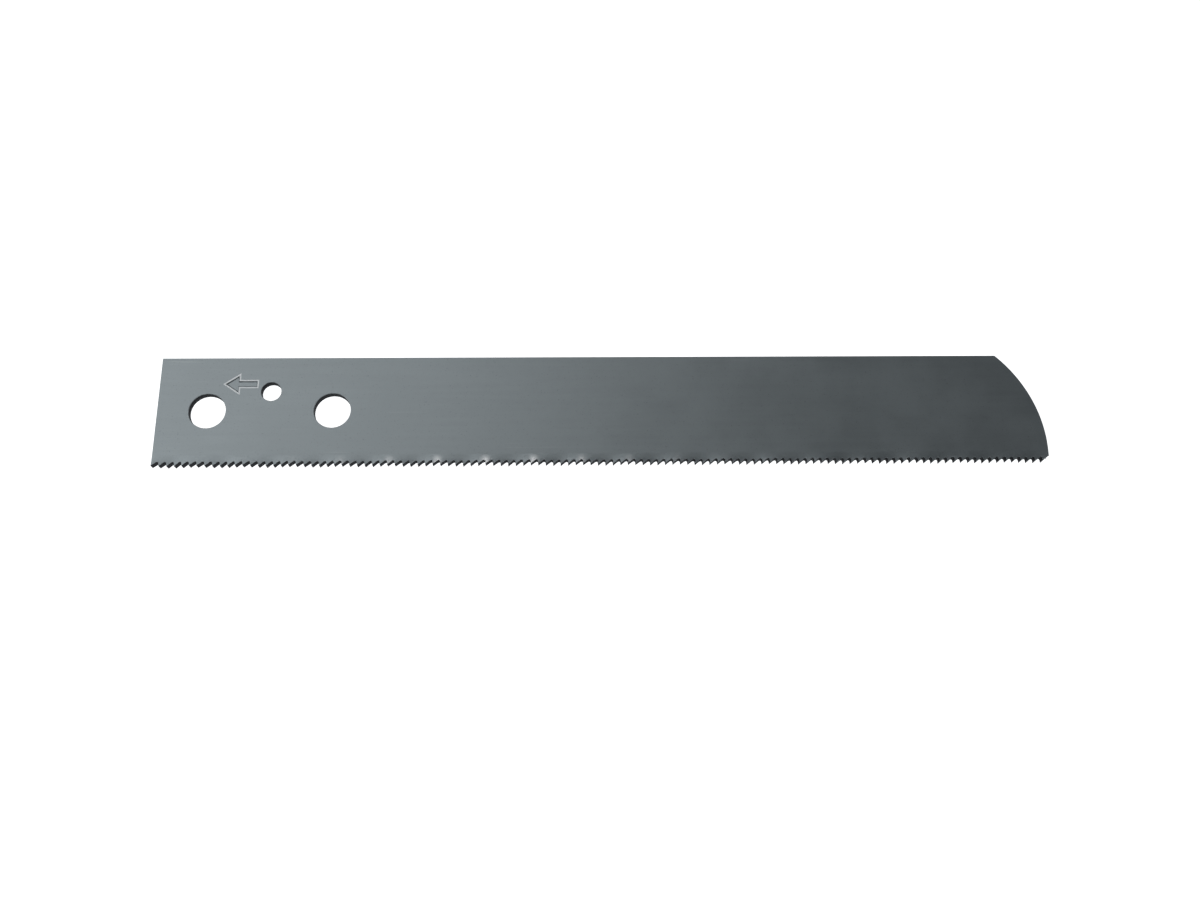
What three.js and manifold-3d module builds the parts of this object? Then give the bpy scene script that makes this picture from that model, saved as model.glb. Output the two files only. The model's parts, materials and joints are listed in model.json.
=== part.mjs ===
// Power hacksaw blade: a flat steel strip that bolts on at one end and has a rounded nose at the other.
// Millimetres, Z up. The blade lies flat: +X runs from the bolted end to the nose, +Y points to the
// plain back edge and +Z out of the marked face. The origin is on the unmarked face, halfway between
// the two bolt holes.

import * as THREE from "three";
import { mergeVertices } from "three/addons/utils/BufferGeometryUtils.js";
import Module from "manifold-3d";

const wasm = await Module();
wasm.setup();

// Strip
const bladeWidth = 27.8; // tooth tips to back edge
const bladeThickness = 2;
const boltHoleRadius = 4.4;
const boltHoleSpacing = 30;
const endToBoltHole = 12;
const pilotHoleRadius = 2.4;
const pilotHoleY = 5;
const noseRadius = 33;
const noseCentreAboveTips = 4;
const holeSegments = 56;
const noseSegments = 40;

// Bimetal edge
const toothPitch = 1.8;
const toothCount = 120;
const toothEdgeWidth = 2.6; // tips to weld
const weldWidth = 0.5;

// One tooth, from its tip along +X: a straight back, a rounded gullet and an upright rake face
const backRun = 1.2;
const backRise = 0.92;
const gulletRun = 1.52;
const gulletRise = 1;
const rakeRun = 1.77;
const rakeRise = 0.74;

// Wavy set: the teeth lean out of each face in turn
const setPeriod = 6.4 * toothPitch;
const setLead = 4.3; // how far into a wave the square end lies
const setOut = 0.28;

// Cutting-direction arrow, stamped into the marked face and pointing to the bolted end
const arrowX = -7.3;
const arrowY = 7;
const arrowLength = 7.6;
const arrowHeadLength = 3.2;
const arrowHeadHeight = 4.4;
const arrowShaftHeight = 1.5;
const arrowDepth = 0.2;

// Derived
const bladeLength = toothCount * toothPitch;
const leftX = -boltHoleSpacing / 2 - endToBoltHole;
const tipY = -bladeWidth / 2;
const backY = bladeWidth / 2;
const weldLowY = tipY + toothEdgeWidth;
const weldHighY = weldLowY + weldWidth;
const noseCentreX = leftX + bladeLength - noseRadius;
const noseCentreY = tipY + noseCentreAboveTips;

// X of the nose arc at a height Y
function noseX(y) {
  return noseCentreX + Math.sqrt(noseRadius ** 2 - (y - noseCentreY) ** 2);
}

// The band between two heights: square at the bolted end, following the arc at the nose
function bandShape(lowY, highY, segments) {
  const fromAngle = Math.asin((lowY - noseCentreY) / noseRadius);
  const toAngle = Math.asin((highY - noseCentreY) / noseRadius);
  const shape = new THREE.Shape();
  shape.moveTo(leftX, highY);
  shape.lineTo(leftX, lowY);
  for (let i = 0; i <= segments; i += 1) {
    const angle = fromAngle + ((toAngle - fromAngle) * i) / segments;
    const x = noseCentreX + noseRadius * Math.cos(angle);
    const y = noseCentreY + noseRadius * Math.sin(angle);
    shape.lineTo(x, y);
  }
  shape.closePath();
  return shape;
}

function roundHole(x, y, radius) {
  const hole = new THREE.Path();
  hole.absarc(x, y, radius, 0, 2 * Math.PI, true);
  return hole;
}

function arrowShape() {
  const pointX = arrowX - arrowLength / 2;
  const neckX = pointX + arrowHeadLength;
  const tailX = arrowX + arrowLength / 2;
  const shape = new THREE.Shape();
  shape.moveTo(pointX, arrowY);
  shape.lineTo(neckX, arrowY - arrowHeadHeight / 2);
  shape.lineTo(neckX, arrowY - arrowShaftHeight / 2);
  shape.lineTo(tailX, arrowY - arrowShaftHeight / 2);
  shape.lineTo(tailX, arrowY + arrowShaftHeight / 2);
  shape.lineTo(neckX, arrowY + arrowShaftHeight / 2);
  shape.lineTo(neckX, arrowY + arrowHeadHeight / 2);
  shape.closePath();
  return shape;
}

function extrude(shape, depth) {
  const settings = { depth, curveSegments: holeSegments, bevelEnabled: false };
  return new THREE.ExtrudeGeometry(shape, settings);
}

// A closed geometry as a solid that can be cut
function toSolid(geometry) {
  const bare = new THREE.BufferGeometry();
  bare.setAttribute("position", geometry.getAttribute("position"));
  bare.setIndex(geometry.index);
  const merged = mergeVertices(bare, 1e-4);
  const vertProperties = merged.getAttribute("position").array;
  const triVerts = new Uint32Array(merged.index.array);
  return new wasm.Manifold(new wasm.Mesh({ numProp: 3, vertProperties, triVerts }));
}

function toGeometry(solid) {
  const cut = solid.getMesh();
  const geometry = new THREE.BufferGeometry();
  geometry.setAttribute("position", new THREE.BufferAttribute(cut.vertProperties, 3));
  geometry.setIndex(new THREE.BufferAttribute(cut.triVerts, 1));
  const faceted = geometry.toNonIndexed();
  faceted.computeVertexNormals();
  return faceted;
}

// Spring-steel strip, with two bolt holes, the small pilot hole between them and the stamped arrow
function backingStrip() {
  const outline = bandShape(weldHighY, backY, noseSegments);
  outline.holes.push(roundHole(-boltHoleSpacing / 2, 0, boltHoleRadius));
  outline.holes.push(roundHole(boltHoleSpacing / 2, 0, boltHoleRadius));
  outline.holes.push(roundHole(0, pilotHoleY, pilotHoleRadius));
  const stamp = extrude(arrowShape(), 2 * arrowDepth);
  stamp.translate(0, 0, bladeThickness - arrowDepth);
  return toGeometry(toSolid(extrude(outline, bladeThickness)).subtract(toSolid(stamp)));
}

// Fused zone that joins the tooth edge to the backing strip
function weldSeam() {
  return extrude(bandShape(weldLowY, weldHighY, 1), bladeThickness);
}

// Corners along the toothed edge, as [x, rise above the tips]
function toothOutline() {
  const corners = [];
  for (let i = 0; i < toothCount; i += 1) {
    const x = leftX + i * toothPitch;
    corners.push([x, 0]);
    if (i < toothCount - 1) {
      corners.push([x + backRun, backRise]);
      corners.push([x + gulletRun, gulletRise]);
      corners.push([x + rakeRun, rakeRise]);
    }
  }
  const lastBack = (toothPitch * backRise) / backRun;
  corners.push([noseX(tipY + lastBack), lastBack]);
  return corners;
}

// How far the wavy set carries the edge along Z; it dies away at the weld
function setAt(x, rise) {
  const wave = Math.sin((2 * Math.PI * (x - leftX + setLead)) / setPeriod);
  return setOut * wave * (1 - rise / toothEdgeWidth);
}

// High-speed-steel edge: every corner of the outline carries a column of four points
function toothEdge() {
  const corners = toothOutline();
  const points = [];
  const faces = [];
  const quad = (a, b, c, d) => faces.push(a, b, c, a, c, d);
  corners.forEach(([x, rise], i) => {
    const shift = setAt(x, rise);
    const topX = i === corners.length - 1 ? noseX(weldLowY) : x;
    points.push(x, tipY + rise, shift);
    points.push(x, tipY + rise, bladeThickness + shift);
    points.push(topX, weldLowY, 0);
    points.push(topX, weldLowY, bladeThickness);
  });
  for (let i = 0; i < corners.length - 1; i += 1) {
    const here = 4 * i;
    const next = here + 4;
    quad(here + 1, next + 1, next + 3, here + 3);
    quad(here, here + 2, next + 2, next);
    quad(here, next, next + 1, here + 1);
    quad(here + 3, next + 3, next + 2, here + 2);
  }
  const end = 4 * (corners.length - 1);
  quad(0, 1, 3, 2);
  quad(end + 1, end, end + 2, end + 3);
  const geometry = new THREE.BufferGeometry();
  geometry.setAttribute("position", new THREE.Float32BufferAttribute(points, 3));
  geometry.setIndex(faces);
  const faceted = geometry.toNonIndexed();
  faceted.computeVertexNormals();
  return faceted;
}

const stripSteel = new THREE.MeshStandardMaterial({
  color: 0x646c70,
  roughness: 0.42,
  metalness: 0.9,
});
const weldSteel = new THREE.MeshStandardMaterial({
  color: 0x5b6468,
  roughness: 0.5,
  metalness: 0.9,
});
const toothSteel = new THREE.MeshStandardMaterial({
  color: 0x70787b,
  roughness: 0.36,
  metalness: 0.95,
});

function piece(name, geometry, material) {
  const mesh = new THREE.Mesh(geometry, material);
  mesh.name = name;
  return mesh;
}

const blade = new THREE.Group();
blade.name = "power_hacksaw_blade";
blade.add(piece("backing_strip", backingStrip(), stripSteel));
blade.add(piece("weld_seam", weldSeam(), weldSteel));
blade.add(piece("tooth_edge", toothEdge(), toothSteel));

export default blade;
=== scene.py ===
"""Power hacksaw blade: the detailed strip, weld seam and toothed edge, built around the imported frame."""

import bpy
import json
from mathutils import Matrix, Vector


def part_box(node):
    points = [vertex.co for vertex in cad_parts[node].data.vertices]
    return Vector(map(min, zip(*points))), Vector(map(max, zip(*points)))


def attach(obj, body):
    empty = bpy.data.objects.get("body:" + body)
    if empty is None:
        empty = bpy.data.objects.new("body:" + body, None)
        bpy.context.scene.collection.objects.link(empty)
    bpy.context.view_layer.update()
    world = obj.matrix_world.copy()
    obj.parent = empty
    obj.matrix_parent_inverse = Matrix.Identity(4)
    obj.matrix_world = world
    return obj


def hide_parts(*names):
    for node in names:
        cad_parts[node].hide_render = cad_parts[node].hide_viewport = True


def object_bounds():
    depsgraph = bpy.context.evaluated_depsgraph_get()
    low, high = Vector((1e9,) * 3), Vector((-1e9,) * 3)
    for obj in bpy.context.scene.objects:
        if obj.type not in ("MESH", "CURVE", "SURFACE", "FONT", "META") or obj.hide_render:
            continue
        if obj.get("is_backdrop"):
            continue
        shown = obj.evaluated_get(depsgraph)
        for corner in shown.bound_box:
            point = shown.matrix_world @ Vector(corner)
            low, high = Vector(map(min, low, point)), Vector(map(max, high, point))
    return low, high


bl_info = {
    "name": "Power Hacksaw Blade",
    "version": (1, 0, 0),
    "blender": (4, 5, 0),
    "location": "3D View > Sidebar > Blade",
    "description": "Builds a bolt-on power hacksaw blade and the studio it lies in",
    "category": "Object",
}

import json
import math

import bmesh
import bpy
from mathutils import Vector
from mathutils.geometry import delaunay_2d_cdt

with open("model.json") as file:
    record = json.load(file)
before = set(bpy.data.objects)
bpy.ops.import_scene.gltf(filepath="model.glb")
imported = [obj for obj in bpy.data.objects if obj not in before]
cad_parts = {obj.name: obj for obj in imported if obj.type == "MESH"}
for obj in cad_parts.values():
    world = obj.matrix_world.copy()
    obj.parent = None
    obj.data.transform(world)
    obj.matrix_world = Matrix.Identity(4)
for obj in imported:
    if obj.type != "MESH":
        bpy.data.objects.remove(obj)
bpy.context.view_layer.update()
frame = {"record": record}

STRIP_LOW, STRIP_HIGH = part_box("backing_strip")
SEAM_LOW, SEAM_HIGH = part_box("weld_seam")
TEETH_LOW, TEETH_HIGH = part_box("tooth_edge")
OPENINGS = {o["name"]: o["box_m"] for o in frame["record"]["physics"]["openings"]}

MM = 0.001
MERGE = 1e-6  # vertices closer than this are one
RIM_STEPS = 4  # facets across a rounded rim
NOSE_STEPS = 64  # facets round the nose
SEAM_STEPS = 2  # facets of the nose in the seam
BOLT_HOLE_STEPS = 96
PILOT_HOLE_STEPS = 64
GRID_STEP = 3.4 * MM  # spacing of the spare points that even out the flat faces
GRID_MARGIN = 1 * MM  # what the spare points keep clear of an edge or a hole
ARROW_MARGIN = 1.2 * MM  # what the spare points keep clear of the arrow
INSIDE_ONLY = 1  # makes the fill leave out what lies beyond the outline
STRIP_CORNER = math.radians(40)  # an edge that turns by more than this stays crisp
TOOTH_CORNER = math.radians(30)
CUT = "cut_wall"  # point attribute: 0 on a ground face, 1 on a sheared or milled wall, which the steel darkens with painted shade
PAINTED_HIGHLIGHT = "painted_highlight"  # point attribute: 1 where a painted highlight lies, on a raised lip or on a crest of the set
OUTER_WALL_SHADE = 0.66  # share of the painted wall shade given to the outer walls

# The stamped arrow, from its raised lip to its side: inset and drop in millimetres, wall (cut-wall share,
# which takes painted shade) and painted highlight
ARROW_LIP = (
    (-0.42, 0, 0, 0),
    (-0.3, -0.012, 0, 0.42),
    (-0.1, -0.018, 0, 0.42),
    (0, 0.02, 0.5, 0.084),
    (0.1, 0.11, 0.75, 0),
)
ARROW_FLOOR_INSET = 0.24 * MM
ARROW_HEAD_SHARE = 0.42  # share of the arrow's length that is head
ARROW_SHAFT_SHARE = 0.17  # half the shaft's height as a share of the head's

# One tooth, as shares of the pitch and the depth: relieved back, round gullet, upright rake face
TOOTH_SHARES = ((0, 0), (0.31, 0.44), (0.6, 0.85), (0.73, 0.97), (0.84, 1), (0.93, 0.88), (0.98, 0.6))
TOOTH_ROWS = (0.42, 0.66, 1)  # share of the edge's height at which the rows above a gullet lie
LAST_TOOTH_STOPS = (0, 0.35, 0.7)  # where the last tooth's back has columns before its rounded end
BEND_POWER = 1.5  # how quickly the set dies away from tip to weld
CREST_POWER = 8.0  # how narrow the painted highlight on a crest is
TIP_POWER = 0.6  # how the painted highlight dies away from tip to weld, as a power of the set

GRAIN_LINES = 9000.0  # fine grain lines across a metre
HIGHLIGHT_GAIN = 1.8  # how strongly the painted highlight on the crests and on the arrow's lip shows

# The soft studio lights: name, place, size in metres and power in watts
PANELS = (
    ("left_panel", (-0.7, 0.35, 0.85), (0.9, 1.4), 3.1),
    ("high_panel", (-0.35, 0.35, 0.95), (0.8, 1.2), 1.0),
    ("back_glint", (0, 0.5, 0.84), (0.2, 0.1), 0.2),
)
SKY_TINT = (0.95, 0.97, 1, 1)
SKY_SEEN = 1.15  # brightness of the background where the camera sees it directly
SENSOR_WIDTH = 36  # millimetres
NEAREST = 0.01  # metres from the camera at which things start to show


def opening_centre(name):
    """Centre of a bolt hole, from the room that is kept open for its bolt."""
    (x0, y0, _), (x1, y1, _) = OPENINGS[name]
    return Vector(((x0 + x1) / 2, (y0 + y1) / 2))


# Settings ---------------------------------------------------------------------------------------------


def length(name, description, default, **limits):
    """A length in metres, shown in the scene's own units."""
    return bpy.props.FloatProperty(
        name=name, description=description, default=default, unit="LENGTH", precision=5, **limits
    )


def colour(name, description, default):
    """A linear colour."""
    return bpy.props.FloatVectorProperty(
        name=name, description=description, default=default, size=3, subtype="COLOR", min=0, max=1
    )


class StripSettings(bpy.types.PropertyGroup):
    """Sizes of the backing strip, its holes and its stamped arrow"""

    bolt_hole_radius: length("Bolt Hole Radius", "Radius of the two bolt holes", 4.4 * MM)
    pilot_hole_radius: length("Pilot Hole Radius", "Radius of the small locating hole", 2.4 * MM)
    pilot_hole_rise: length(
        "Pilot Hole Rise", "Height of the locating hole above the bolt holes", 5 * MM
    )
    nose_radius: length("Nose Radius", "Radius of the rounded nose", 33 * MM)
    nose_centre_rise: length(
        "Nose Centre Rise", "Height of the nose arc's centre above the tips", 4 * MM
    )
    rim_radius: length("Rim Radius", "Rounding along the strip's outer edges", 0.12 * MM)
    hole_rim_radius: length(
        "Hole Rim Radius", "Rounding that the punch leaves round each hole", 0.13 * MM
    )
    arrow_length: length("Arrow Length", "Length of the stamped cutting-direction arrow", 7.6 * MM)
    arrow_height: length("Arrow Height", "Height of the arrow's head", 4.4 * MM)
    arrow_depth: length("Arrow Depth", "Depth of the stamped arrow", 0.2 * MM)
    arrow_along: length("Arrow Along", "Place of the arrow's middle along the blade", -7.3 * MM)
    arrow_rise: length("Arrow Rise", "Height of the arrow's middle above the bolt holes", 7 * MM)


class ToothSettings(bpy.types.PropertyGroup):
    """Sizes of the teeth and their wavy set"""

    pitch: length("Pitch", "Distance from tip to tip", 1.8 * MM)
    depth: length("Depth", "Depth of a gullet", 1 * MM)
    set_out: length("Set", "How far the wavy set carries the tips out of each face", 0.28 * MM)
    set_teeth: bpy.props.FloatProperty(
        name="Teeth per Wave", description="Teeth in one wave of the set", default=6.4, min=2
    )
    set_lead: length("Set Lead", "How far into a wave the square end lies", 4.3 * MM)
    burr: length("Chamfer", "Chamfer left along the edges of each gullet", 0.05 * MM)
    # Painted highlight on the crests: the place along the blade where it is strongest, and its reach
    highlight_middle: length(
        "Highlight Middle", "Place along the blade where the crests are most rubbed", 56 * MM
    )
    highlight_reach: length(
        "Highlight Reach", "Distance over which the rubbing of the crests dies away", 34 * MM
    )


class FinishSettings(bpy.types.PropertyGroup):
    """Tones of the steel"""

    strip_light: colour("Strip, Light", "Lighter tone of the hardened strip", (0.353, 0.396, 0.414))
    strip_dark: colour("Strip, Dark", "Darker tone of the hardened strip", (0.312, 0.351, 0.368))
    seam_tone: colour("Seam", "Tone of the fused zone", (0.316, 0.356, 0.373))
    tooth_tone: colour("Teeth", "Tone of the toothed edge", (0.316, 0.356, 0.373))
    # Near-black tone: painted shade on the cut walls, and the random dark specks
    wall_shade_and_speck_tone: colour("Scale", "Dark scale left on sheared and milled walls", (0.026, 0.028, 0.032))
    # Bright steel: real wear on the rims and scuffs, and the painted highlight on the crests and on the
    # arrow's lip
    bare_and_highlight_tone: colour("Bare Steel", "Bright steel where an edge has rubbed", (0.64, 0.66, 0.67))


class StageSettings(bpy.types.PropertyGroup):
    """Floor, soft light and camera"""

    floor_size: length("Floor Size", "Side of the floor", 8.0)
    floor_tone: colour("Floor", "Tone of the floor", (0.9, 0.9, 0.9))
    floor_glow: bpy.props.FloatProperty(
        name="Floor Glow", description="Light that the pale floor gives off, as a light table does",
        default=1.0, min=0,
    )
    room_light: bpy.props.FloatProperty(
        name="Room Light", description="Dim light that comes from all round", default=0.08, min=0
    )
    horizon_light: bpy.props.FloatProperty(
        name="Horizon Light", description="Soft light that comes from low down all round",
        default=0.55, min=0,
    )
    lens: bpy.props.FloatProperty(
        name="Lens", description="Focal length on a 36 mm sensor", default=36.0, min=10, unit="CAMERA"
    )
    eye: bpy.props.FloatVectorProperty(
        name="Eye", description="Place of the camera", default=(0.07045, -0.10675, 0.27434),
        size=3, subtype="TRANSLATION", unit="LENGTH", precision=5,
    )
    aim: bpy.props.FloatVectorProperty(
        name="Aim", description="Turn of the camera", size=3, subtype="EULER", unit="ROTATION",
        default=(math.radians(19.471), math.radians(-1.61), math.radians(-0.928)),
    )


# Outlines ---------------------------------------------------------------------------------------------


def nose_x(y, settings):
    """X of the nose arc at a height y."""
    rise = y - (TEETH_LOW.y + settings.nose_centre_rise)
    return TEETH_HIGH.x - settings.nose_radius + math.sqrt(settings.nose_radius**2 - rise**2)


def band_outline(low, high, settings, steps):
    """Corners of the strip between two heights, anticlockwise from the foot of the square end."""
    centre = TEETH_LOW.y + settings.nose_centre_rise
    first = math.asin((low - centre) / settings.nose_radius)
    last = math.asin((high - centre) / settings.nose_radius)
    corners = [Vector((TEETH_LOW.x, low))]
    for i in range(steps + 1):
        angle = first + (last - first) * i / steps
        y = centre + settings.nose_radius * math.sin(angle)
        corners.append(Vector((nose_x(y, settings), y)))
    corners.append(Vector((TEETH_LOW.x, high)))
    return corners


def inset(corners, offsets):
    """A closed anticlockwise outline after each edge has moved inwards by its own offset."""
    moved = []
    for i, corner in enumerate(corners):
        before = (corner - corners[i - 1]).normalized()
        after = (corners[(i + 1) % len(corners)] - corner).normalized()
        start = Vector((-before.y, before.x)) * offsets[i - 1]
        end = Vector((-after.y, after.x)) * offsets[i]
        turn = before.cross(after)
        slide = (end - start).cross(after) / turn if abs(turn) > 1e-5 else 0
        moved.append(corner + start + before * slide)
    return moved


def circle(centre, radius, steps):
    """A hole's outline, clockwise, so that an inset moves it into the steel."""
    return [
        centre + radius * Vector((math.cos(-a), math.sin(-a)))
        for a in (2 * math.pi * i / steps for i in range(steps))
    ]


def arrow_outline(centre, long, high):
    """A plain arrow that points to -X, anticlockwise."""
    neck = long * (ARROW_HEAD_SHARE - 0.5)
    shaft = high * ARROW_SHAFT_SHARE
    corners = (
        (-long / 2, 0),
        (neck, -high / 2),
        (neck, -shaft),
        (long / 2, -shaft),
        (long / 2, shaft),
        (neck, shaft),
        (neck, high / 2),
    )
    return [centre + Vector(corner) for corner in corners]


# Mesh work --------------------------------------------------------------------------------------------


def ring(bm, corners, z, cut, highlight=0):
    """Vertices over flat corners at one height, with how far they are cut wall and how much painted
    highlight they carry.
    """
    cut_layer, highlight_layer = bm.verts.layers.float[CUT], bm.verts.layers.float[PAINTED_HIGHLIGHT]
    verts = [bm.verts.new((c.x, c.y, z)) for c in corners]
    for v in verts:
        v[cut_layer] = cut
        v[highlight_layer] = highlight
    return verts


def bridge(bm, upper, lower):
    """Quads between two closed rings; the upper one is nearer the marked face."""
    for i, top in enumerate(upper):
        j = (i + 1) % len(upper)
        bm.faces.new((top, lower[i], lower[j], upper[j]))


def rim_levels(radius):
    """(inset, drop, cut) from the flat face down to the wall."""
    levels = []
    for i in range(RIM_STEPS + 1):
        angle = math.pi / 2 * i / RIM_STEPS
        levels.append((radius * (1 - math.sin(angle)), radius * (1 - math.cos(angle)), i / RIM_STEPS))
    return levels


def rounded_wall(bm, corners, rounds, radius, low, high, scale=1):
    """The wall round an outline, with a rounded rim where rounds is 1. Returns its two face rings."""
    upper = [(offset, high - drop, cut) for offset, drop, cut in rim_levels(radius)]
    lower = [(offset, low + drop, cut) for offset, drop, cut in reversed(rim_levels(radius))]
    rings = []
    for offset, z, cut in upper + lower:
        rings.append(ring(bm, inset(corners, [offset * r for r in rounds]), z, cut * scale))
    for upper, lower in zip(rings, rings[1:]):
        bridge(bm, upper, lower)
    return rings[0], rings[-1]


def fill_face(bm, loops, spare, inside, upwards):
    """Triangulates a flat face through its loops and spare points, leaving out what inside() refuses."""
    verts = [v for loop in loops for v in loop] + spare
    edges = []
    start = 0
    for loop in loops:
        edges += [(start + i, start + (i + 1) % len(loop)) for i in range(len(loop))]
        start += len(loop)
    flat = [v.co.xy for v in verts]
    _, _, triangles, sources, _, _ = delaunay_2d_cdt(flat, edges, [], INSIDE_ONLY, MERGE / 10)
    for triangle in triangles:
        corners = [verts[sources[i][0]] for i in triangle]
        if not inside(sum((c.co.xy for c in corners), Vector((0, 0))) / 3):
            continue
        face = bm.faces.new(corners)
        face.normal_update()
        if (face.normal.z > 0) != upwards:
            face.normal_flip()


def shade(mesh):
    """Flat faces stay flat-shaded; rims and walls are smooth up to a corner."""
    mesh.set_sharp_from_angle(angle=STRIP_CORNER)
    mesh.polygons.foreach_set("use_smooth", [abs(p.normal.z) < 0.9999 for p in mesh.polygons])


def finish_mesh(bm, name):
    """Turns the work into a named mesh."""
    mesh = bpy.data.meshes.new(name)
    bm.to_mesh(mesh)
    bm.free()
    return mesh


def new_mesh():
    """An empty mesh that records cut walls and painted highlights."""
    bm = bmesh.new()
    bm.verts.layers.float.new(CUT)
    bm.verts.layers.float.new(PAINTED_HIGHLIGHT)
    return bm


def show_piece(name, mesh, material, node):
    """Puts a finished piece in the scene in place of its plain solid."""
    mesh.materials.clear()
    mesh.materials.append(material)
    piece = bpy.data.objects.new(name, mesh)
    bpy.context.scene.collection.objects.link(piece)
    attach(piece, "root")
    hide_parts(node)


# Backing strip ----------------------------------------------------------------------------------------


def spare_points(settings):
    """An even grid of points over the strip's face."""
    points = []
    y = STRIP_LOW.y + GRID_STEP / 2
    while y < STRIP_HIGH.y - GRID_MARGIN:
        x = STRIP_LOW.x + GRID_STEP / 2
        while x < nose_x(y, settings) - GRID_MARGIN:
            points.append(Vector((x, y)))
            x += GRID_STEP
        y += GRID_STEP
    return points


def strip_mesh(settings):
    """The strip with rounded rims, three punched holes and the stamped arrow."""
    bm = new_mesh()
    low, high = STRIP_LOW.z, STRIP_HIGH.z
    outline = band_outline(STRIP_LOW.y, STRIP_HIGH.y, settings, NOSE_STEPS)
    rounds = [0] + [1] * (len(outline) - 1)  # the lower edge joins the seam
    front, back = rounded_wall(bm, outline, rounds, settings.rim_radius, low, high, OUTER_WALL_SHADE)
    front_loops, back_loops = [front], [back]

    holes = [
        (opening_centre("end_bolt_hole"), settings.bolt_hole_radius, BOLT_HOLE_STEPS),
        (opening_centre("inner_bolt_hole"), settings.bolt_hole_radius, BOLT_HOLE_STEPS),
        (Vector((0, settings.pilot_hole_rise)), settings.pilot_hole_radius, PILOT_HOLE_STEPS),
    ]
    for centre, radius, steps in holes:
        wall = circle(centre, radius, steps)
        top, bottom = rounded_wall(bm, wall, [1] * steps, settings.hole_rim_radius, low, high)
        front_loops.append(top)
        back_loops.append(bottom)

    middle = Vector((settings.arrow_along, settings.arrow_rise))
    arrow = arrow_outline(middle, settings.arrow_length, settings.arrow_height)
    # The arrow's lip carries a painted highlight, and its walls carry painted shade
    stamp = [(offset * MM, drop * MM, cut, highlight) for offset, drop, cut, highlight in ARROW_LIP]
    stamp.append((ARROW_FLOOR_INSET, settings.arrow_depth, 0, 0))
    for offset, drop, cut, highlight in stamp:
        corners = inset(arrow, [offset] * len(arrow))
        front_loops.append(ring(bm, corners, high - drop, cut, highlight))

    def clear_of_holes(p):
        return all((p - c).length > r + GRID_MARGIN for c, r, _ in holes)

    def clear_of_arrow(p):
        past_x = abs(p.x - middle.x) > settings.arrow_length / 2 + ARROW_MARGIN
        past_y = abs(p.y - middle.y) > settings.arrow_height / 2 + ARROW_MARGIN
        return past_x or past_y

    def in_steel(p):
        rim = settings.hole_rim_radius
        return all((p - c).length > (r + rim) * math.cos(math.pi / n) for c, r, n in holes)

    grid = [p for p in spare_points(settings) if clear_of_holes(p)]
    fill_face(bm, front_loops, ring(bm, filter(clear_of_arrow, grid), high, 0), in_steel, True)
    fill_face(bm, back_loops, ring(bm, grid, low, 0), in_steel, False)
    mesh = finish_mesh(bm, "strip_body")
    shade(mesh)
    return mesh


def seam_mesh(settings):
    """The fused zone: a narrow band, flush with the strip."""
    bm = new_mesh()
    outline = band_outline(SEAM_LOW.y, SEAM_HIGH.y, settings, SEAM_STEPS)
    rounds = [0] + [1] * (len(outline) - 1)  # the lower edge joins the teeth
    rounds[-2] = 0  # the upper edge joins the strip
    radius = settings.rim_radius
    front, back = rounded_wall(bm, outline, rounds, radius, SEAM_LOW.z, SEAM_HIGH.z, OUTER_WALL_SHADE)
    fill_face(bm, [front], [], lambda p: True, True)
    fill_face(bm, [back], [], lambda p: True, False)
    mesh = finish_mesh(bm, "weld_line")
    shade(mesh)
    return mesh


# Node work --------------------------------------------------------------------------------------------


def link(tree, start, end):
    """Joins an output to an input."""
    tree.links.new(start, end)


def fill_socket(tree, socket, value):
    """Gives an input a number, a colour or another node's output."""
    if isinstance(value, bpy.types.NodeSocket):
        link(tree, value, socket)
    else:
        socket.default_value = value


def maths(tree, operation, *values):
    """A Math node with its inputs given as numbers or sockets."""
    node = tree.nodes.new("ShaderNodeMath")
    node.operation = operation
    for socket, value in zip(node.inputs, values):
        fill_socket(tree, socket, value)
    return node.outputs[0]


def product(tree, *values):
    """All the values multiplied together."""
    total = values[0]
    for value in values[1:]:
        total = maths(tree, "MULTIPLY", total, value)
    return total


def vector(tree, **parts):
    """A vector from its X, Y or Z part; the parts not given are 0."""
    node = tree.nodes.new("ShaderNodeCombineXYZ")
    for axis, value in parts.items():
        fill_socket(tree, node.inputs[axis], value)
    return node.outputs[0]


# Toothed edge -----------------------------------------------------------------------------------------


def tooth_profile(settings):
    """[(run, rise)] from a tip to just short of the next one."""
    return [(settings.pitch * run, settings.depth * rise) for run, rise in TOOTH_SHARES]


def rise_at(run, profile):
    """Rise of the tooth's back at a short run from the tip."""
    x, y = profile[1]
    return y * run / x


def tooth_columns(bm, columns, burr):
    """A run of the edge. A column is ([x of each row], [y of each row], half thickness), tip first."""
    middle = (STRIP_LOW.z + STRIP_HIGH.z) / 2
    layer = bm.verts.layers.float[CUT]
    rows = []
    for xs, ys, half in columns:
        chamfer = min(burr, half / 2)
        section = [(x, y, half, 0) for x, y in zip(reversed(xs), reversed(ys))]
        section[-1] = (xs[0], ys[0] + chamfer, half, 0)
        # The gullet wall between the chamfers is marked as cut wall, which the steel darkens with painted
        # shade
        section.append((xs[0], ys[0], half - chamfer, 1))
        section += [(x, y, -z, cut) for x, y, z, cut in reversed(section)]
        made = []
        for x, y, z, cut in section:
            v = bm.verts.new((x, y, middle + z))
            v[layer] = cut
            made.append(v)
        rows.append(made)
    for left, right in zip(rows, rows[1:]):
        for i in range(len(left)):
            j = (i + 1) % len(left)
            bm.faces.new((left[i], left[j], right[j], right[i]))
    return rows


def column(x, rise, half):
    """An upright column over one point of the profile."""
    width = TEETH_HIGH.y - TEETH_LOW.y
    ys = [TEETH_LOW.y + rise] + [TEETH_LOW.y + width * share for share in TOOTH_ROWS]
    return [x] * len(ys), ys, half


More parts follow.
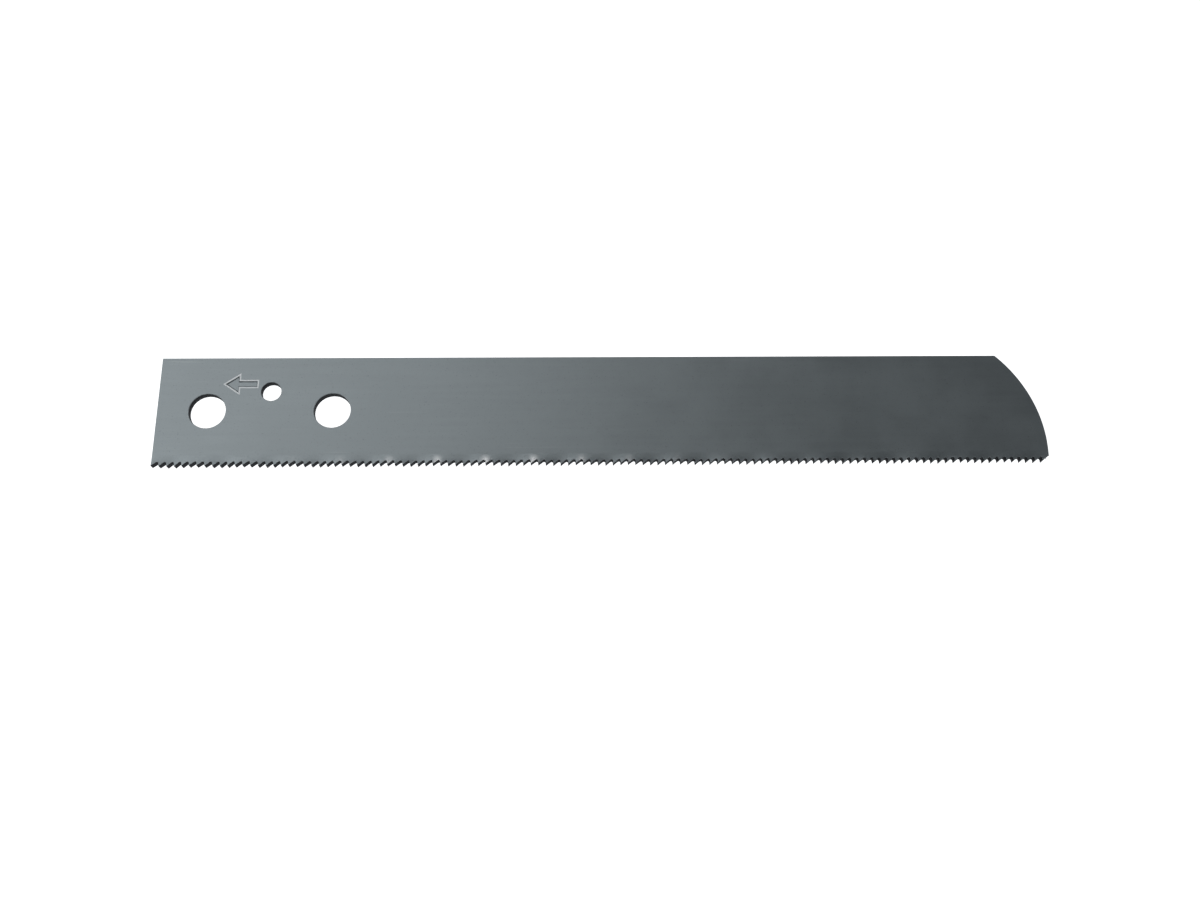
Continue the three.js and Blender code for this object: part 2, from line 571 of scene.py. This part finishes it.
def one_tooth_mesh(tooth):
    """One tooth with open ends, its tip at x 0."""
    bm = new_mesh()
    half = (STRIP_HIGH.z - STRIP_LOW.z) / 2
    profile = tooth_profile(tooth) + [(tooth.pitch, 0)]
    tooth_columns(bm, [column(x, rise, half) for x, rise in profile], tooth.burr)
    return finish_mesh(bm, "one_tooth")


def end_teeth_mesh(strip, tooth, count):
    """The first tooth with the square end's rounded rim, and the last one, which runs out at the nose."""
    bm = new_mesh()
    half = (STRIP_HIGH.z - STRIP_LOW.z) / 2
    left = TEETH_LOW.x
    profile = tooth_profile(tooth)
    rims = rim_levels(strip.rim_radius)
    columns = []
    for offset, drop, _ in reversed(rims):
        columns.append(column(left + offset, rise_at(offset, profile), half - drop))
    columns += [column(left + x, rise, half) for x, rise in profile[1:] + [(tooth.pitch, 0)]]
    first = tooth_columns(bm, columns, tooth.burr)
    bm.faces.new(reversed(first[0]))

    # The last tooth's back runs straight on to the nose
    tip = left + (count - 1) * tooth.pitch
    slope = profile[2][1] / profile[2][0]
    run = nose_x(TEETH_LOW.y + slope * tooth.pitch, strip) - tip
    stops = [run * share for share in LAST_TOOTH_STOPS]
    columns = [column(tip + stop, slope * stop, half) for stop in stops]
    for offset, drop, _ in rims:
        _, ys, _ = column(0, slope * (run - offset), half)
        columns.append(([nose_x(y, strip) - offset for y in ys], ys, half - drop))
    last = tooth_columns(bm, columns, tooth.burr)
    bm.faces.new(last[-1])
    return finish_mesh(bm, "end_teeth")


def repeat_teeth(tree, given):
    """Copies of one tooth at every pitch, joined to the end teeth and merged into one mesh."""
    line = tree.nodes.new("GeometryNodeMeshLine")
    link(tree, given["Count"], line.inputs["Count"])
    link(tree, vector(tree, X=given["First Tip"]), line.inputs["Start Location"])
    link(tree, vector(tree, X=given["Pitch"]), line.inputs["Offset"])
    copies = tree.nodes.new("GeometryNodeInstanceOnPoints")
    link(tree, line.outputs["Mesh"], copies.inputs["Points"])
    link(tree, given["Geometry"], copies.inputs["Instance"])
    ends = tree.nodes.new("GeometryNodeObjectInfo")
    link(tree, given["End Teeth"], ends.inputs["Object"])
    joined = tree.nodes.new("GeometryNodeJoinGeometry")
    link(tree, copies.outputs["Instances"], joined.inputs["Geometry"])
    link(tree, ends.outputs["Geometry"], joined.inputs["Geometry"])
    real = tree.nodes.new("GeometryNodeRealizeInstances")
    link(tree, joined.outputs["Geometry"], real.inputs["Geometry"])
    merged = tree.nodes.new("GeometryNodeMergeByDistance")
    merged.inputs["Distance"].default_value = 2 * MERGE
    link(tree, real.outputs["Geometry"], merged.inputs["Geometry"])
    return merged.outputs["Geometry"]


def bend_into_waves(tree, given, teeth):
    """The edge leans out of each face in turn, and a painted highlight is marked on its crests."""
    place = tree.nodes.new("GeometryNodeInputPosition")
    axes = tree.nodes.new("ShaderNodeSeparateXYZ")
    link(tree, place.outputs["Position"], axes.inputs[0])
    x, y, z = axes.outputs
    along = maths(tree, "SUBTRACT", x, given["Wave Start"])
    turns = maths(tree, "DIVIDE", along, given["Wave Length"])
    wave = maths(tree, "SINE", product(tree, turns, 2 * math.pi))
    rise = maths(tree, "DIVIDE", maths(tree, "SUBTRACT", y, given["Tip Height"]), given["Edge Width"])
    below_weld = maths(tree, "MAXIMUM", maths(tree, "SUBTRACT", 1.0, rise), 0.0)
    fade = maths(tree, "POWER", below_weld, BEND_POWER)

    side = maths(tree, "SIGN", maths(tree, "SUBTRACT", z, given["Middle"]))
    # Painted highlight: strongest on the crests near the tips around one place along the blade, dying away
    # from there
    crest = maths(tree, "MAXIMUM", product(tree, wave, side), 0.0)
    away = maths(tree, "SUBTRACT", x, given["Highlight Middle"])
    away = maths(tree, "DIVIDE", away, given["Highlight Reach"])
    highlight_spread = maths(tree, "EXPONENT", product(tree, away, away, -1.0))
    cut = tree.nodes.new("GeometryNodeInputNamedAttribute")
    cut.data_type = "FLOAT"
    cut.inputs["Name"].default_value = CUT
    off_wall = maths(tree, "SUBTRACT", 1.0, cut.outputs["Attribute"])
    near_tips = maths(tree, "POWER", fade, TIP_POWER)
    highlight_amount = product(tree, highlight_spread, maths(tree, "POWER", crest, CREST_POWER), off_wall, near_tips)
    highlight = tree.nodes.new("GeometryNodeStoreNamedAttribute")
    highlight.data_type = "FLOAT"
    highlight.domain = "POINT"
    highlight.inputs["Name"].default_value = PAINTED_HIGHLIGHT
    link(tree, teeth, highlight.inputs["Geometry"])
    link(tree, highlight_amount, highlight.inputs["Value"])

    bent = tree.nodes.new("GeometryNodeSetPosition")
    link(tree, highlight.outputs["Geometry"], bent.inputs["Geometry"])
    lean = product(tree, wave, fade, given["Set"])
    link(tree, vector(tree, Z=lean), bent.inputs["Offset"])
    return bent.outputs["Geometry"]


def saw_edge_tree():
    """Geometry Nodes: one tooth repeated along the edge, joined to the end teeth and bent into waves."""
    tree = bpy.data.node_groups.new("Wavy Set Saw Edge", "GeometryNodeTree")
    kinds = {
        "Geometry": "Geometry",
        "End Teeth": "Object",
        "Count": "Int",
        "Pitch": "Float",
        "First Tip": "Float",
        "Wave Start": "Float",
        "Wave Length": "Float",
        "Set": "Float",
        "Tip Height": "Float",
        "Edge Width": "Float",
        "Middle": "Float",
        "Highlight Middle": "Float",
        "Highlight Reach": "Float",
        "Steel": "Material",
    }
    for name, kind in kinds.items():
        tree.interface.new_socket(name, in_out="INPUT", socket_type="NodeSocket" + kind)
    tree.interface.new_socket("Geometry", in_out="OUTPUT", socket_type="NodeSocketGeometry")
    given = tree.nodes.new("NodeGroupInput").outputs
    result = tree.nodes.new("NodeGroupOutput")

    edge = bend_into_waves(tree, given, repeat_teeth(tree, given))
    real = tree.nodes.new("GeometryNodeRealizeInstances")
    link(tree, edge, real.inputs["Geometry"])
    painted = tree.nodes.new("GeometryNodeSetMaterial")
    link(tree, real.outputs["Geometry"], painted.inputs["Geometry"])
    link(tree, given["Steel"], painted.inputs["Material"])
    link(tree, painted.outputs["Geometry"], result.inputs["Geometry"])
    return tree


def run_tree(base, tree, values):
    """The mesh that a Geometry Nodes tree makes of an object, with its inputs given by name."""
    modifier = base.modifiers.new("Edge", "NODES")
    modifier.node_group = tree
    for item in tree.interface.items_tree:
        if item.item_type == "SOCKET" and item.in_out == "INPUT" and item.name in values:
            modifier[item.identifier] = values[item.name]
    base.update_tag()
    bpy.context.view_layer.update()
    evaluated = base.evaluated_get(bpy.context.evaluated_depsgraph_get())
    made = bpy.data.meshes.new_from_object(evaluated)
    base.modifiers.remove(modifier)
    return made


def saw_edge_mesh(strip, tooth, steel):
    """The whole toothed edge as one closed mesh."""
    count = round((TEETH_HIGH.x - TEETH_LOW.x) / tooth.pitch)
    base = bpy.data.objects.new("one_tooth", one_tooth_mesh(tooth))
    ends = bpy.data.objects.new("end_teeth", end_teeth_mesh(strip, tooth, count))
    for helper in (base, ends):
        bpy.context.scene.collection.objects.link(helper)
    values = {
        "End Teeth": ends,
        "Count": count - 2,
        "Pitch": tooth.pitch,
        "First Tip": TEETH_LOW.x + tooth.pitch,
        "Wave Start": TEETH_LOW.x - tooth.set_lead,
        "Wave Length": tooth.pitch * tooth.set_teeth,
        "Set": tooth.set_out,
        "Tip Height": TEETH_LOW.y,
        "Edge Width": TEETH_HIGH.y - TEETH_LOW.y,
        "Middle": (STRIP_LOW.z + STRIP_HIGH.z) / 2,
        "Highlight Middle": tooth.highlight_middle,
        "Highlight Reach": tooth.highlight_reach,
        "Steel": steel,
    }
    mesh = run_tree(base, saw_edge_tree(), values)
    for helper in (base, ends):
        bpy.data.objects.remove(helper)
    bm = bmesh.new()
    bm.from_mesh(mesh)
    bmesh.ops.remove_doubles(bm, verts=bm.verts, dist=2 * MERGE)
    bmesh.ops.recalc_face_normals(bm, faces=bm.faces)
    bm.to_mesh(mesh)
    bm.free()
    mesh.name = "saw_edge"
    mesh.polygons.foreach_set("use_smooth", [True] * len(mesh.polygons))
    mesh.set_sharp_from_angle(angle=TOOTH_CORNER)
    return mesh


# Finishes ---------------------------------------------------------------------------------------------


def effect(name, inputs, outputs):
    """An empty shader node group with float or vector inputs."""
    tree = bpy.data.node_groups.new(name, "ShaderNodeTree")
    for label, default in inputs:
        kind = "NodeSocketVector" if default is None else "NodeSocketFloat"
        socket = tree.interface.new_socket(label, in_out="INPUT", socket_type=kind)
        if default is not None:
            socket.default_value = default
    for label in outputs:
        tree.interface.new_socket(label, in_out="OUTPUT", socket_type="NodeSocketFloat")
    return tree, tree.nodes.new("NodeGroupInput").outputs, tree.nodes.new("NodeGroupOutput").inputs


def noise(tree, coordinates, scale, detail, roughness=0.5):
    """A noise value at a given scale."""
    node = tree.nodes.new("ShaderNodeTexNoise")
    node.inputs["Detail"].default_value = detail
    node.inputs["Roughness"].default_value = roughness
    link(tree, coordinates, node.inputs["Vector"])
    fill_socket(tree, node.inputs["Scale"], scale)
    return node.outputs["Fac"]


def stretched(tree, coordinates, factors):
    """Coordinates multiplied along each axis; a small factor draws a pattern out."""
    node = tree.nodes.new("ShaderNodeVectorMath")
    node.operation = "MULTIPLY"
    link(tree, coordinates, node.inputs[0])
    node.inputs[1].default_value = factors
    return node.outputs[0]


def smooth_step(tree, value, start, end):
    """0 where a value is at the start, 1 where it is at the end, and smooth between them."""
    node = tree.nodes.new("ShaderNodeMapRange")
    node.interpolation_type = "SMOOTHSTEP"
    link(tree, value, node.inputs["Value"])
    node.inputs["From Min"].default_value = start
    node.inputs["From Max"].default_value = end
    return node.outputs["Result"]


def rolled_grain():
    """Fine lines left along the strip by rolling and grinding."""
    inputs = [("Coordinates", None), ("Lines", GRAIN_LINES)]
    tree, given, out = effect("Rolled Grain", inputs, ["Height", "Streak"])
    fine = noise(tree, stretched(tree, given["Coordinates"], (0.012, 1, 1)), given["Lines"], 4)
    broad = noise(tree, stretched(tree, given["Coordinates"], (0.03, 1, 1)), 900, 3)
    link(tree, fine, out["Height"])
    link(tree, smooth_step(tree, broad, 0.35, 0.65), out["Streak"])
    return tree


def temper_clouds():
    """Soft uneven patches that hardening and tempering leave."""
    inputs = [("Coordinates", None), ("Patches", 55.0)]
    tree, given, out = effect("Temper Clouds", inputs, ["Tone", "Speckle"])
    patches = noise(tree, given["Coordinates"], given["Patches"], 6, 0.64)
    speckle = noise(tree, given["Coordinates"], 2600, 2)
    link(tree, smooth_step(tree, patches, 0.3, 0.7), out["Tone"])
    link(tree, smooth_step(tree, speckle, 0.62, 0.74), out["Speckle"])
    return tree


def shaded_wall_and_worn_rim():
    """Painted shade that darkens the cut walls, and bright steel where the rim between wall and face has
    rubbed.
    """
    inputs = [("Coordinates", None), ("Wall", 0.0), ("Wear", 0.5)]
    tree, given, out = effect("Shaded Wall and Worn Rim", inputs, ["Scale", "Bare"])
    patchy = smooth_step(tree, noise(tree, given["Coordinates"], 700, 3), 0.4, 0.7)
    past_face = smooth_step(tree, given["Wall"], 0.02, 0.3)
    short_of_wall = smooth_step(tree, given["Wall"], 0.8, 0.4)
    link(tree, smooth_step(tree, given["Wall"], 0.45, 0.95), out["Scale"])
    link(tree, product(tree, past_face, short_of_wall, patchy, given["Wear"]), out["Bare"])
    return tree


def handling_marks():
    """A few hair-fine scuffs that cross the grain."""
    inputs = [("Coordinates", None), ("Amount", 0.4)]
    tree, given, out = effect("Handling Marks", inputs, ["Mark"])
    turn = tree.nodes.new("ShaderNodeMapping")
    turn.inputs["Rotation"].default_value = (0, 0, math.radians(24))
    turn.inputs["Scale"].default_value = (40, 1500, 40)
    link(tree, given["Coordinates"], turn.inputs["Vector"])
    lines = smooth_step(tree, noise(tree, turn.outputs[0], 1.0, 2), 0.66, 0.72)
    where = smooth_step(tree, noise(tree, given["Coordinates"], 45, 2), 0.52, 0.62)
    link(tree, product(tree, lines, where, given["Amount"]), out["Mark"])
    return tree


EFFECTS = {}


def effects():
    """The shared effects, built once."""
    if not EFFECTS:
        EFFECTS.update(
            grain=rolled_grain(), clouds=temper_clouds(), rim=shaded_wall_and_worn_rim(), marks=handling_marks()
        )
    return EFFECTS


def blend(tree, factor, first, second):
    """A colour between two, each a socket or a linear colour."""
    node = tree.nodes.new("ShaderNodeMix")
    node.data_type = "RGBA"
    link(tree, factor, node.inputs[0])
    colours = [socket for socket in node.inputs if socket.type == "RGBA"]
    for socket, value in zip(colours, (first, second)):
        fill_socket(tree, socket, value if isinstance(value, bpy.types.NodeSocket) else (*value, 1))
    return next(socket for socket in node.outputs if socket.type == "RGBA")


def attribute(tree, name):
    """A value that is stored on the mesh."""
    node = tree.nodes.new("ShaderNodeAttribute")
    node.attribute_name = name
    return node.outputs["Fac"]


def place_effect(tree, group, coordinates, **values):
    """A shared effect in one material, with that material's own values."""
    node = tree.nodes.new("ShaderNodeGroup")
    node.node_tree = group
    link(tree, coordinates, node.inputs["Coordinates"])
    for label, value in values.items():
        fill_socket(tree, node.inputs[label], value)
    return node.outputs


def steel(name, finish, dark, roughness, wear):
    """Hardened steel: clouded tone, rolled grain, painted shade on the cut walls, rubbed rims, a painted
    highlight on the crests and the arrow's lip, and a few scuffs.
    """
    groups = effects()
    material = bpy.data.materials.new(name)
    material.use_nodes = True
    tree = material.node_tree
    shader = tree.nodes["Principled BSDF"]
    place = tree.nodes.new("ShaderNodeTexCoord").outputs["Object"]
    grain = place_effect(tree, groups["grain"], place)
    clouds = place_effect(tree, groups["clouds"], place)
    rim = place_effect(tree, groups["rim"], place, Wall=attribute(tree, CUT), Wear=wear)
    marks = place_effect(tree, groups["marks"], place)

    tone = blend(tree, clouds["Tone"], dark, finish.strip_light)
    tone = blend(tree, product(tree, grain["Streak"], 0.35), tone, finish.strip_light)
    tone = blend(tree, product(tree, clouds["Speckle"], 0.2), tone, finish.wall_shade_and_speck_tone)
    # Painted shade: the cut walls are darkened towards the near-black tone and lose their metal sheen
    tone = blend(tree, rim["Scale"], tone, finish.wall_shade_and_speck_tone)
    # Rubbed rims and scuffs brighten as real wear; the crests of the set and the arrow's lip get a painted
    # highlight
    wear_and_highlight = maths(tree, "MAXIMUM", rim["Bare"], product(tree, marks["Mark"], 0.3))
    wear_and_highlight = maths(tree, "MAXIMUM", wear_and_highlight, product(tree, attribute(tree, PAINTED_HIGHLIGHT), HIGHLIGHT_GAIN))
    tone = blend(tree, wear_and_highlight, tone, finish.bare_and_highlight_tone)
    link(tree, tone, shader.inputs["Base Color"])

    uneven = maths(tree, "MULTIPLY_ADD", clouds["Tone"], 0.06, roughness - 0.03)
    uneven = maths(tree, "MULTIPLY_ADD", grain["Height"], 0.05, uneven)
    uneven = maths(tree, "MULTIPLY_ADD", rim["Scale"], 0.2, uneven)
    link(tree, maths(tree, "MULTIPLY_ADD", wear_and_highlight, -0.12, uneven), shader.inputs["Roughness"])
    link(tree, maths(tree, "MULTIPLY_ADD", rim["Scale"], -0.95, 0.95), shader.inputs["Metallic"])
    shader.inputs["Specular IOR Level"].default_value = 0.03

    height = maths(tree, "MULTIPLY_ADD", clouds["Tone"], 0.6, grain["Height"])
    height = maths(tree, "MULTIPLY_ADD", marks["Mark"], -0.8, height)
    bump = tree.nodes.new("ShaderNodeBump")
    bump.inputs["Strength"].default_value = 0.35
    bump.inputs["Distance"].default_value = 0.004 * MM
    link(tree, height, bump.inputs["Height"])
    link(tree, bump.outputs["Normal"], shader.inputs["Normal"])
    return material


def studio_floor(settings):
    """A plain pale floor with a slight unevenness and a soft glow of its own."""
    material = bpy.data.materials.new("Studio floor")
    material.use_nodes = True
    tree = material.node_tree
    shader = tree.nodes["Principled BSDF"]
    place = tree.nodes.new("ShaderNodeTexCoord").outputs["Object"]
    uneven = [c * 0.99 for c in settings.floor_tone]
    tone = blend(tree, noise(tree, place, 3, 2), settings.floor_tone, uneven)
    link(tree, tone, shader.inputs["Base Color"])
    shader.inputs["Roughness"].default_value = 0.9
    shader.inputs["Specular IOR Level"].default_value = 0.1
    shader.inputs["Emission Color"].default_value = (1, 1, 1, 1)
    shader.inputs["Emission Strength"].default_value = settings.floor_glow
    return material


# Operators --------------------------------------------------------------------------------------------


class BLADE_OT_backing_strip(bpy.types.Operator):
    """Make the backing strip with its holes, nose and stamped arrow"""

    bl_idname = "blade.backing_strip"
    bl_label = "Backing Strip"

    def execute(self, context):
        finish = context.scene.blade_finish
        hardened = steel("Hardened strip steel", finish, finish.strip_dark, roughness=0.42, wear=0.6)
        mesh = strip_mesh(context.scene.blade_strip)
        show_piece("strip_body", mesh, hardened, "backing_strip")
        return {"FINISHED"}


class BLADE_OT_weld_seam(bpy.types.Operator):
    """Make the fused zone between the strip and the toothed edge"""

    bl_idname = "blade.weld_seam"
    bl_label = "Weld Seam"

    def execute(self, context):
        finish = context.scene.blade_finish
        fused = steel("Fused seam steel", finish, finish.seam_tone, roughness=0.43, wear=0.4)
        mesh = seam_mesh(context.scene.blade_strip)
        show_piece("weld_line", mesh, fused, "weld_seam")
        return {"FINISHED"}


class BLADE_OT_tooth_edge(bpy.types.Operator):
    """Make the toothed edge with its wavy set"""

    bl_idname = "blade.tooth_edge"
    bl_label = "Toothed Edge"

    def execute(self, context):
        scene = context.scene
        finish = scene.blade_finish
        high_speed = steel("High-speed tooth steel", finish, finish.tooth_tone, roughness=0.41, wear=0.35)
        mesh = saw_edge_mesh(scene.blade_strip, scene.blade_teeth, high_speed)
        show_piece("saw_edge", mesh, high_speed, "tooth_edge")
        return {"FINISHED"}


def pale_floor(settings, centre, height):
    """A plain floor under the blade."""
    bm = bmesh.new()
    bmesh.ops.create_grid(bm, x_segments=8, y_segments=8, size=settings.floor_size / 2)
    mesh = finish_mesh(bm, "floor")
    mesh.materials.append(studio_floor(settings))
    floor = bpy.data.objects.new("floor", mesh)
    floor.location = (centre.x, centre.y, height)
    bpy.context.scene.collection.objects.link(floor)
    floor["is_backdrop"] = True


def studio_world(settings):
    """A plain white background that lights the blade softly, most of all from low down."""
    world = bpy.data.worlds.new("Studio")
    world.use_nodes = True
    tree = world.node_tree
    background = tree.nodes["Background"]
    background.inputs["Color"].default_value = SKY_TINT
    axes = tree.nodes.new("ShaderNodeSeparateXYZ")
    link(tree, tree.nodes.new("ShaderNodeTexCoord").outputs["Generated"], axes.inputs[0])
    low_down = maths(tree, "SUBTRACT", 1.0, maths(tree, "ABSOLUTE", axes.outputs["Z"]))
    low_down = maths(tree, "POWER", low_down, 2.0)
    light = maths(tree, "MULTIPLY_ADD", low_down, settings.horizon_light, settings.room_light)
    seen = product(tree, tree.nodes.new("ShaderNodeLightPath").outputs["Is Camera Ray"], SKY_SEEN)
    link(tree, maths(tree, "MAXIMUM", light, seen), background.inputs["Strength"])
    bpy.context.scene.world = world


def panel_light(name, place, target, size, power):
    """A soft rectangular studio light."""
    light = bpy.data.lights.new(name, "AREA")
    light.shape = "RECTANGLE"
    light.size, light.size_y = size
    light.energy = power
    lamp = bpy.data.objects.new(name, light)
    lamp.location = place
    lamp.rotation_euler = (target - Vector(place)).to_track_quat("-Z", "Y").to_euler()
    bpy.context.scene.collection.objects.link(lamp)


def studio_camera(settings):
    """The camera that the scene is seen through."""
    camera = bpy.data.objects.new("camera", bpy.data.cameras.new("camera"))
    camera.data.sensor_width = SENSOR_WIDTH
    camera.data.lens = settings.lens
    camera.data.clip_start = NEAREST
    camera.location = settings.eye
    camera.rotation_euler = settings.aim
    bpy.context.scene.collection.objects.link(camera)
    bpy.context.scene.camera = camera


class BLADE_OT_stage(bpy.types.Operator):
    """Make the floor, the soft lights and the camera"""

    bl_idname = "blade.stage"
    bl_label = "Stage"

    def execute(self, context):
        settings = context.scene.blade_stage
        low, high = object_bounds()
        centre = (low + high) / 2
        pale_floor(settings, centre, low.z)
        studio_world(settings)
        for name, place, size, power in PANELS:
            panel_light(name, place, centre, size, power)
        studio_camera(settings)
        context.scene.view_settings.view_transform = "Standard"
        return {"FINISHED"}


class BLADE_PT_panel(bpy.types.Panel):
    """Sizes, finishes and steps of the blade"""

    bl_idname = "BLADE_PT_panel"
    bl_label = "Power Hacksaw Blade"
    bl_space_type = "VIEW_3D"
    bl_region_type = "UI"
    bl_category = "Blade"

    def draw(self, context):
        layout = self.layout
        for name in GROUPS:
            group = getattr(context.scene, name)
            box = layout.box()
            for key in group.bl_rna.properties.keys():
                if key not in ("rna_type", "name"):
                    box.prop(group, key)
        for operator in STEPS:
            layout.operator(operator.bl_idname)


GROUPS = {
    "blade_strip": StripSettings,
    "blade_teeth": ToothSettings,
    "blade_finish": FinishSettings,
    "blade_stage": StageSettings,
}
STEPS = (BLADE_OT_backing_strip, BLADE_OT_weld_seam, BLADE_OT_tooth_edge, BLADE_OT_stage)
CLASSES = (*GROUPS.values(), *STEPS, BLADE_PT_panel)


def register():
    for cls in CLASSES:
        bpy.utils.register_class(cls)
    for name, cls in GROUPS.items():
        setattr(bpy.types.Scene, name, bpy.props.PointerProperty(type=cls))


def unregister():
    for name in GROUPS:
        delattr(bpy.types.Scene, name)
    for cls in reversed(CLASSES):
        bpy.utils.unregister_class(cls)


def main():
    register()
    bpy.ops.blade.backing_strip()
    bpy.ops.blade.weld_seam()
    bpy.ops.blade.tooth_edge()
    bpy.ops.blade.stage()


if __name__ == "__main__":
    main()
